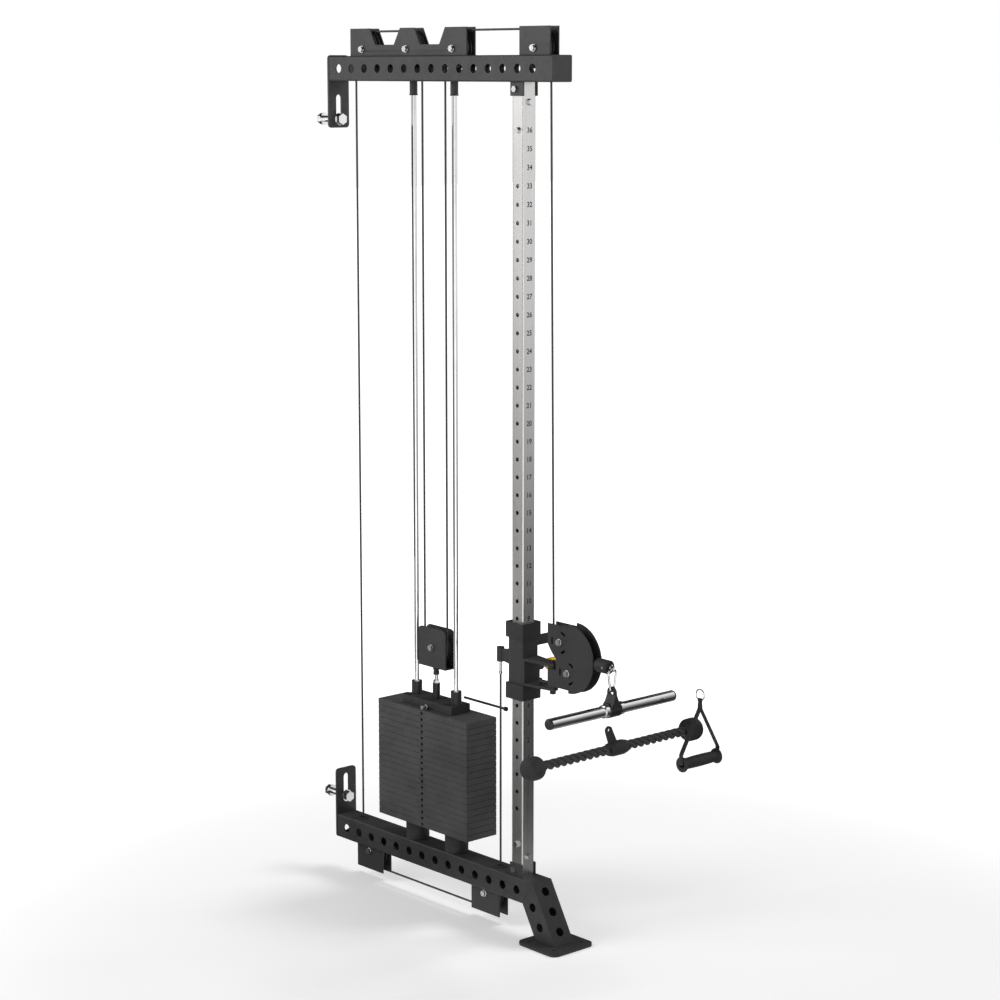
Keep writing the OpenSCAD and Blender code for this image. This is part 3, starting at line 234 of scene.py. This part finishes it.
def woven(name):
    """Flat webbing: small cross weave."""
    s = Shader(name, grey(0.03), 0.7, Sheen_Weight=0.2, Sheen_Roughness=0.5)
    waves = []
    for direction in ("X", "DIAGONAL"):
        wave = s.node("ShaderNodeTexWave", wave_type="BANDS", bands_direction=direction)
        wave.inputs["Scale"].default_value = 260.0
        s.link(s.place(), wave.inputs["Vector"])
        waves.append(wave.outputs["Fac"])
    product = s.node("ShaderNodeMath", operation="MULTIPLY")
    s.link(waves[0], product.inputs[0])
    s.link(waves[1], product.inputs[1])
    s.vary_color(product.outputs["Value"], grey(0.014), grey(0.045), 0.0, 0.7)
    s.bump(product.outputs["Value"], 0.0003, 0.7)
    return s.mat


MATS = {
    "frame_paint": powder_coat("look_frame_paint", grey(0.032), grey(0.042)),
    "stainless": brushed(
        "look_stainless", (0.6, 0.595, 0.585), (0.72, 0.71, 0.7), (0.26, 0.36), (500, 500, 7)),
    "chrome": polished("look_chrome", grey(0.78, 1.01), grey(0.86, 1.01), (0.06, 0.12)),
    "zinc": polished("look_zinc", grey(0.6, 1.02), grey(0.74, 1.02), (0.14, 0.26)),
    "nylon": moulded("look_nylon", grey(0.025), grey(0.034), (0.38, 0.5)),
    "rubber": moulded("look_rubber", grey(0.022), grey(0.032), (0.6, 0.75), 900.0, 0.00012),
    "cable": jacket("look_cable"),
    "plate_iron": cast_plate("look_plate"),
    "black_steel": powder_coat("look_black_steel", grey(0.016), grey(0.024), (0.32, 0.45)),
    "yellow": moulded("look_yellow", (0.95, 0.52, 0.005), (1.0, 0.6, 0.01), (0.3, 0.4)),
    "rope_fibre": fibres("look_rope"),
    "webbing": woven("look_webbing"),
    "ink": moulded("look_ink", grey(0.02), grey(0.04), (0.5, 0.6)),
}
SLOT_OF = {part["node"]: part["material_slot"] for part in frame["record"]["subparts"]}
for name, node in NODES.items():
    node.data.materials.clear()
    node.data.materials.append(MATS[SLOT_OF[name]])


# ---------------------------------------------------------------- mesh helpers
def add_piece(name, verts, faces, slot_name, body=None, smooth=True):
    mesh = bpy.data.meshes.new(name)
    mesh.from_pydata([tuple(v) for v in verts], [], faces)
    mesh.validate()
    mesh.update()
    bm = bmesh.new()
    bm.from_mesh(mesh)
    bmesh.ops.recalc_face_normals(bm, faces=bm.faces)
    bm.to_mesh(mesh)
    bm.free()
    if smooth:
        mesh.polygons.foreach_set("use_smooth", [True] * len(mesh.polygons))
    mesh.materials.append(MATS[slot_name])
    obj = bpy.data.objects.new(name, mesh)
    scene.collection.objects.link(obj)
    if body is not None:
        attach(obj, body)
    return obj


def frames_along(points):
    """Tangents and side vectors at each point of an open path, without twist."""
    last = len(points) - 1
    tangents = []
    for i in range(len(points)):
        a, b = points[max(i - 1, 0)], points[min(i + 1, last)]
        tangents.append((b - a).normalized())
    side = tangents[0].orthogonal().normalized()
    sides = []
    for t in tangents:
        side = (side - t * side.dot(t)).normalized()
        sides.append(side.copy())
    return tangents, sides


def tube(points, radius, around, offset):
    """Verts and faces of a round tube with closed ends, its faces counted from offset."""
    tangents, sides = frames_along(points)
    verts, faces = [], []
    for p, t, s in zip(points, tangents, sides):
        up = t.cross(s)
        for k in range(around):
            a = 2 * math.pi * k / around
            verts.append(p + (s * math.cos(a) + up * math.sin(a)) * radius)
    for i in range(len(points) - 1):
        for k in range(around):
            a, b = i * around + k, i * around + (k + 1) % around
            faces.append((offset + a, offset + b, offset + b + around, offset + a + around))
    faces.append(tuple(offset + k for k in range(around)))
    last = (len(points) - 1) * around
    faces.append(tuple(offset + last + k for k in reversed(range(around))))
    return verts, faces


def line(a, b, count):
    a, b = Vector(a), Vector(b)
    return [a.lerp(b, i / (count - 1)) for i in range(count)]


# ---------------------------------------------------------------- twisted pull rope
ROPE_X, ROPE_Z, ROPE_R = 0.226, 0.532, 0.0115
ROPE_ENDS = (-0.2806, 0.215)
ROPE_PITCH = 0.060
ROPE_STRANDS = 3
STRAND_R = 0.0052
STRAND_STEPS = 220


def build_rope():
    """Three strands laid round each other between the rope's two end fittings."""
    verts, faces = [], []
    start, length = ROPE_ENDS[0], ROPE_ENDS[1] - ROPE_ENDS[0]
    lean = ROPE_R - STRAND_R
    for strand in range(ROPE_STRANDS):
        points = []
        for i in range(STRAND_STEPS):
            y = start + length * i / (STRAND_STEPS - 1)
            a = 2 * math.pi * (strand / ROPE_STRANDS - (y - start) / ROPE_PITCH)
            points.append(Vector((ROPE_X + lean * math.cos(a), y, ROPE_Z + lean * math.sin(a))))
        v, f = tube(points, STRAND_R, 18, len(verts))
        verts += v
        faces += f
    rope = add_piece("twisted_rope", verts, faces, "rope_fibre", "frame")
    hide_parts("pull_rope")


build_rope()

# ---------------------------------------------------------------- cables between two bodies that move apart
CABLE_R = 0.0025
CABLE_SIDES = 14
TURN_LENGTH = 0.12  # the stretch above the head that turns with it
TURN_RINGS = 24


def taut(a, b, end=0.001):
    """A straight cable's points, all at its two ends, so that it stays straight."""
    a, b = Vector(a), Vector(b)
    step = (b - a).normalized() * end
    return [a, a + step, b - step, b]


def blended_cable(name, runs, node, rings=None):
    """Cable of straight runs, built in place of its CAD node, which is hidden."""
    verts, faces = [], []
    for low, high in runs:
        points = line(low, high, rings) if rings else taut(low, high)
        v, f = tube(points, CABLE_R, CABLE_SIDES, len(verts))
        verts += v
        faces += f
    obj = add_piece(name, verts, faces, "cable")
    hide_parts(node)
    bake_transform(obj)


def centre_run(node):
    """Top and foot of a vertical node's centre line."""
    lo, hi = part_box(node)
    x, y = (lo.x + hi.x) / 2, (lo.y + hi.y) / 2
    return (x, y, hi.z), (x, y, lo.z)


def moving_cables():
    """The cable's stretches between two bodies that move apart."""
    lo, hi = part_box("cable_front_drop")
    top, low = Vector((lo.x + CABLE_R, 0, hi.z)), Vector((hi.x - CABLE_R, 0, lo.z))
    turn = low.lerp(top, TURN_LENGTH / (top - low).length)
    node = "cable_front_drop"
    blended_cable("front_drop_cable", [(top, turn)], node)
    blended_cable("front_drop_end", [(turn, low)], node, TURN_RINGS)
    top, low = centre_run("cable_anchor")
    blended_cable("anchor_cable", [(low, top)], "cable_anchor")
    lo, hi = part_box("cable_block_runs")
    runs = [((x, 0, hi.z), (x, 0, lo.z)) for x in (lo.x + CABLE_R, hi.x - CABLE_R)]
    blended_cable("block_cables", runs, "cable_block_runs")
    lo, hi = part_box("cable_tail")
    z = (lo.z + hi.z) / 2
    run = ((lo.x, 0, z), (hi.x, 0, z))
    blended_cable("tail_cable", [run], "cable_tail")


moving_cables()

# ---------------------------------------------------------------- strap handle
GRIP = Vector((0.2595, 0.2095, 0.4663))  # the grip's middle; the shapes round it are in mm
MM = 0.001
SECTION = 16


def rounded(points, radius, steps=5):
    """Replaces each inner corner of a polyline by a short curve."""
    out = [points[0]]
    for a, b, c in zip(points, points[1:], points[2:]):
        into, away = a - b, c - b
        cut = min(radius, into.length * 0.45, away.length * 0.45)
        p, q = b + into.normalized() * cut, b + away.normalized() * cut
        for i in range(steps + 1):
            t = i / steps
            out.append(p * (1 - t) ** 2 + b * 2 * t * (1 - t) + q * t * t)
    out.append(points[-1])
    return out


def dense(points, step):
    out = [points[0]]
    for a, b in zip(points, points[1:]):
        count = max(1, round((b - a).length / step))
        out += [a.lerp(b, (i + 1) / count) for i in range(count)]
    return out


def ribbon_section(width, thick):
    """Flat band's cross section with round selvedges and a slight crown."""
    out = []
    for k in range(SECTION):
        a = 2 * math.pi * k / SECTION
        c, d = math.cos(a), math.sin(a)
        across = math.copysign(abs(c) ** 0.45, c) * width / 2
        out.append((across, math.copysign(abs(d) ** 0.7, d) * thick / 2))
    return out


def build_strap():
    """One webbing loop: through the ring, sewn below it, and round the grip's ends."""
    thick, side_y, loop_z, split_z, loop_r = 2.3, 60.5, 142.75, 123.5, 3.85
    neck, narrow, wide = 1.25, 8.6, 12.6
    half = [Vector((0, loop_z + loop_r, 0))]
    for k in range(1, 8):
        a = math.radians(90 - 22 * k)
        half.append(Vector((loop_r * math.cos(a), loop_z + loop_r * math.sin(a), 0)))
    half += [Vector((neck, loop_z - 8, 0)), Vector((neck, split_z, 0))]
    half += [Vector((side_y, 23, 0)), Vector((side_y, 0, 0)), Vector((0, 0, 0))]
    half = dense(rounded(half, 2.2), 2.0)
    path = half + [Vector((-p.x, p.y, 0)) for p in reversed(half[:-1])][:-1]
    count = len(path)
    verts, faces = [], []
    for i, p in enumerate(path):
        t = (path[(i + 1) % count] - path[i - 1]).normalized()
        n = Vector((-t.y, t.x, 0))
        blend = min(1.0, max(0.0, (loop_z - 2 - p.y) / 12))
        width = narrow + (wide - narrow) * blend
        for across, out in ribbon_section(width, thick):
            q = p + n * out
            verts.append(GRIP + Vector((across, q.x, q.y)) * MM)
    for i in range(count):
        j = (i + 1) % count
        for k in range(SECTION):
            m = (k + 1) % SECTION
            faces.append(tuple(n * SECTION + q for n, q in ((i, k), (i, m), (j, m), (j, k))))
    strap = add_piece("webbing_strap", verts, faces, "webbing", "frame")
    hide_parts("grip_strap")
    verts, faces = [], []
    stitch, stitch_pitch, stitch_r = 1.4, 2.0, 0.00022
    for side in (-1, 1):
        for row in range(6):
            for col in (-3.6, 3.6):
                x = col * (1 - 0.06 * row)
                y = side * (neck + thick / 2)
                z = split_z + 1.5 + row * stitch_pitch
                a = GRIP + Vector((x, y, z)) * MM
                b = GRIP + Vector((x, y, z + stitch)) * MM
                v, f = tube(line(a, b, 4), stitch_r, 6, len(verts))
                verts += v
                faces += f
    add_piece("strap_stitches", verts, faces, "rope_fibre", "frame")


def lathe_y(name, profile, centre, slot_name, body, around=56):
    """Closed ring profile of (y, radius) turned round the Y axis through centre."""
    verts, faces = [], []
    count = len(profile)
    for k in range(around):
        a = 2 * math.pi * k / around
        for y, r in profile:
            verts.append(centre + Vector((r * math.cos(a), y, r * math.sin(a))) * MM)
    for k in range(around):
        m = (k + 1) % around
        for i in range(count):
            j = (i + 1) % count
            faces.append((k * count + i, k * count + j, m * count + j, m * count + i))
    return add_piece(name, verts, faces, slot_name, body)


def build_grip():
    """Rubber grip: rimmed ends, and a crowned middle with fine grooves."""
    half = [
        (59.0, 9.0), (59.0, 11.0), (58.6, 11.6), (58.6, 14.0), (59.0, 14.8),
        (59.0, 16.8), (58.6, 17.6), (57.8, 18.0), (55.6, 18.0), (54.8, 17.6),
        (54.3, 16.8), (54.0, 14.6), (53.4, 13.6), (52.4, 13.1),
    ]
    y = 50.0
    while y > 0.1:
        crown = 12.6 + 1.3 * math.cos(math.pi * y / 104)
        groove = 0.35 if (y < 40 and round(y) % 5 == 0) else 0.0
        half.append((y, crown - groove))
        y -= 1.0
    profile = half + [(-a, r) for a, r in reversed(half)]
    profile += [(-58.4, 8.5), (0.0, 8.5), (58.4, 8.5)]
    grip = lathe_y("grip_tube", profile, GRIP, "rubber", "grip")
    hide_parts("strap_grip")


build_strap()
build_grip()


# ---------------------------------------------------------------- numbers on the upright
NUMBER_COUNT = 36
NUMBER_TOP_Z = 1.9019
NUMBER_PITCH = 0.04184
NUMBER_SIZE = 0.0165
NUMBER_STROKE = 0.0004
FRONT_X = -0.09575
INK_LIFT = 0.00002


def build_numbers():
    """Etched hole numbers on the upright's front face."""
    verts, faces = [], []
    for k in range(NUMBER_COUNT):
        curve = bpy.data.curves.new("number", "FONT")
        curve.body = str(NUMBER_COUNT - k)
        curve.size = NUMBER_SIZE
        curve.align_x = "CENTER"
        curve.align_y = "CENTER"
        curve.extrude = INK_LIFT
        curve.offset = NUMBER_STROKE
        curve.resolution_u = 3
        text = bpy.data.objects.new("number", curve)
        scene.collection.objects.link(text)
        bpy.context.view_layer.update()
        mesh = text.to_mesh()
        start = len(verts)
        z = NUMBER_TOP_Z - k * NUMBER_PITCH
        for v in mesh.vertices:
            verts.append(Vector((FRONT_X + INK_LIFT + v.co.z, v.co.x, z + v.co.y)))
        for f in mesh.polygons:
            faces.append(tuple(start + i for i in f.vertices))
        text.to_mesh_clear()
        bpy.data.objects.remove(text)
        bpy.data.curves.remove(curve)
    numbers = add_piece("upright_numbers", verts, faces, "black_steel", "frame", smooth=False)
    numbers.data.materials[0] = MATS["ink"]


build_numbers()


# ---------------------------------------------------------------- eased edges
def ease(names, width):
    """Small rounded edges on CAD nodes, as modifiers only."""
    for name in names:
        node = NODES[name]
        weld = node.modifiers.new("weld", "WELD")
        weld.merge_threshold = 0.00001
        bevel = node.modifiers.new("edges", "BEVEL")
        bevel.width = width
        bevel.segments = 2
        bevel.limit_method = "ANGLE"
        bevel.angle_limit = math.radians(40)
        normals = node.modifiers.new("normals", "WEIGHTED_NORMAL")
        normals.keep_sharp = True


ease(["weight_plates", "top_plate"], 0.0012)
ease(["base_beam", "front_leg", "top_beam", "trolley_body"], 0.0008)
ease(["rack_plates", "upper_brackets", "lower_brackets", "foot_plate"], 0.0005)
ease(["yoke", "swivel_head", "block_frame"], 0.0005)
ease(["trolley_collars", "head_block", "stack_bumpers", "foot_pad", "frame_bushes"], 0.001)
ease(["rack_bolts", "frame_bolts", "swivel_axles", "head_bolts", "yoke_bolts"], 0.0004)


def brighten_sleeves():
    """Bright mouths on the head block's two sleeves, its topmost faces."""
    mesh = NODES["head_block"].data
    mesh.materials.append(MATS["zinc"])
    top = max(v.co.z for v in mesh.vertices)
    for face in mesh.polygons:
        if math.isclose(face.center.z, top, abs_tol=1e-5):
            face.material_index = 1


brighten_sleeves()

# ---------------------------------------------------------------- world, floor, cards and lights
WHITE = (1, 1, 1, 1)
WORLD_LIGHT = 0.36
FLOOR_HALF = 30.0
FLOOR_COLOR = (0.82, 0.82, 0.82, 1)
FLOOR_GLOW = (0.25, 1.0)  # near the machine and far from it
FLOOR_FADE = (1.0, 3.2)
CARD_Z = 0.004


def empty_tree(owner):
    owner.use_nodes = True
    owner.node_tree.nodes.clear()
    return owner.node_tree


def combine(tree, operation, *values):
    made = tree.nodes.new("ShaderNodeMath")
    made.operation = operation
    for value, socket in zip(values, made.inputs):
        tree.links.new(value, socket)
    return made.outputs[0]


def fade(tree, value, spots, tones):
    """The first tone up to the first spot, the second from the second on."""
    made = tree.nodes.new("ShaderNodeMapRange")
    made.interpolation_type = "SMOOTHSTEP"
    made.inputs["From Min"].default_value = spots[0]
    made.inputs["From Max"].default_value = spots[1]
    made.inputs["To Min"].default_value = tones[0]
    made.inputs["To Max"].default_value = tones[1]
    tree.links.new(value, made.inputs["Value"])
    return made.outputs["Result"]


def build_world():
    """White wherever it is seen, and weaker where it lights the part."""
    world = bpy.data.worlds.new("studio")
    scene.world = world
    tree = empty_tree(world)
    out = tree.nodes.new("ShaderNodeOutputWorld")
    mix = tree.nodes.new("ShaderNodeMixShader")
    rays = tree.nodes.new("ShaderNodeLightPath").outputs
    seen = combine(tree, "MAXIMUM", rays["Is Camera Ray"], rays["Is Glossy Ray"])
    seen = combine(tree, "MAXIMUM", seen, rays["Is Transmission Ray"])
    tree.links.new(seen, mix.inputs["Fac"])
    for strength, socket in ((WORLD_LIGHT, 1), (1.0, 2)):
        shade = tree.nodes.new("ShaderNodeBackground")
        shade.inputs["Color"].default_value = WHITE
        shade.inputs["Strength"].default_value = strength
        tree.links.new(shade.outputs[0], mix.inputs[socket])
    tree.links.new(mix.outputs[0], out.inputs["Surface"])


def area(name, at, aim, size, power):
    data = bpy.data.lights.new(name, "AREA")
    data.shape = "RECTANGLE"
    data.size, data.size_y = size
    data.energy = power
    obj = bpy.data.objects.new(name, data)
    obj.location = at
    obj.rotation_euler = (Vector(aim) - Vector(at)).to_track_quat("-Z", "Y").to_euler()
    scene.collection.objects.link(obj)
    return obj


def stage_quad(name, corners, material):
    """One flat stage face, with its node tree, its surface socket and a glow node."""
    mesh = bpy.data.meshes.new(name)
    mesh.from_pydata([tuple(c) for c in corners], [], [(0, 1, 2, 3)])
    obj = bpy.data.objects.new(name, mesh)
    scene.collection.objects.link(obj)
    mat = bpy.data.materials.new(material)
    mesh.materials.append(mat)
    tree = empty_tree(mat)
    surface = tree.nodes.new("ShaderNodeOutputMaterial").inputs["Surface"]
    return obj, tree, surface, tree.nodes.new("ShaderNodeEmission")


def build_floor():
    """Pale floor: it keeps soft shadows near the machine and fades to white far away."""
    h = FLOOR_HALF
    corners = [(-h, -h, 0), (h, -h, 0), (h, h, 0), (-h, h, 0)]
    _, tree, surface, glow = stage_quad("floor", corners, "floor_white")
    diffuse = tree.nodes.new("ShaderNodeBsdfDiffuse")
    diffuse.inputs["Color"].default_value = FLOOR_COLOR
    coords = tree.nodes.new("ShaderNodeTexCoord")
    length = tree.nodes.new("ShaderNodeVectorMath")
    length.operation = "LENGTH"
    tree.links.new(coords.outputs["Object"], length.inputs[0])
    far = fade(tree, length.outputs["Value"], FLOOR_FADE, FLOOR_GLOW)
    rays = tree.nodes.new("ShaderNodeLightPath").outputs
    seen = combine(tree, "MAXIMUM", rays["Is Camera Ray"], rays["Is Glossy Ray"])
    tree.links.new(combine(tree, "MULTIPLY", seen, far), glow.inputs["Strength"])
    add = tree.nodes.new("ShaderNodeAddShader")
    tree.links.new(diffuse.outputs[0], add.inputs[0])
    tree.links.new(glow.outputs[0], add.inputs[1])
    tree.links.new(add.outputs[0], surface)


def reflector(name, corners):
    """Studio card that only reflections see: its node tree and its tone's socket."""
    obj, tree, surface, glow = stage_quad(name, corners, name)
    obj.visible_camera = obj.visible_diffuse = obj.visible_shadow = False
    tree.links.new(glow.outputs[0], surface)
    return tree, glow.inputs["Strength"]


def card(name, centre, facing, size, tones, heights=(0.0, 3.0)):
    """Upright card whose tone fades between two heights."""
    side = Vector((-facing.y, facing.x, 0)).normalized() * size[0] / 2
    rise = Vector((0, 0, size[1]))
    base = Vector(centre)
    corners = (base - side, base + side, base + side + rise, base - side + rise)
    tree, tone = reflector(name, corners)
    coords = tree.nodes.new("ShaderNodeTexCoord")
    split = tree.nodes.new("ShaderNodeSeparateXYZ")
    tree.links.new(coords.outputs["Object"], split.inputs[0])
    tree.links.new(fade(tree, split.outputs["Z"], heights, tones), tone)


def level(name, sides, depths, height, tone):
    """Level card between two distances across and two ahead of the middle."""
    (a, b), (c, d) = sides, depths
    lift = Vector((0, 0, height))
    spots = ((a, c), (b, c), (b, d), (a, d))
    corners = [middle + across * x + ahead * y + lift for x, y in spots]
    reflector(name, corners)[1].default_value = tone


build_world()
build_floor()
across = Vector((math.cos(CAM_AZIMUTH), math.sin(CAM_AZIMUTH), 0))
ahead = Vector((look.x, look.y, 0)).normalized()
middle = Vector((-0.2, 0, 0))
behind = middle + ahead * 1.9
slant = across * -0.82 - ahead * 0.57
rods = Vector((-0.67, -0.256, 0.8))
raised = Vector((0, 0, 0.2))
card("card_right", middle + across * 1.5, across, (2.0, 2.1), (0.03, 1.0), (0.15, 1.8))
card("card_left", middle - across * 1.5, across, (1.0, 2.6), (0.2, 1.0), (0.0, 1.8))
card("card_back_left", behind - across * 1.9, ahead - across, (1.9, 3.0), (0.02, 0.05))
card("card_back_right", behind + across * 1.9, ahead + across, (1.9, 3.0), (0.3, 0.3))
card("card_front_left", middle + slant * 2.3, slant, (1.3, 2.6), (0.03, 0.03))
card("card_rods", rods, across, (0.26, 1.1), (0.03, 0.03))
card("card_back", middle + ahead * 2.5 + raised, ahead, (3.0, 2.9), (0.03, 0.05))
level("ceiling", (-7.0, 7.0), (-7.0, 7.0), 4.9, 0.02)
level("floor_right", (0.3, 0.8), (-1.2, 1.4), CARD_Z, 0.25)
level("floor_far_right", (0.8, 1.5), (-1.2, 1.4), CARD_Z, 0.05)
level("floor_left", (-1.5, -0.3), (-1.2, 1.4), CARD_Z, 0.08)
key = area("key", (0.6, 2.6, 4.4), (-0.4, 0, 0.6), (1.8, 1.8), 95)
key.visible_glossy = False
area("fill", (-2.6, -3.6, 3.2), (-0.4, 0, 1.3), (2.4, 2.4), 100)
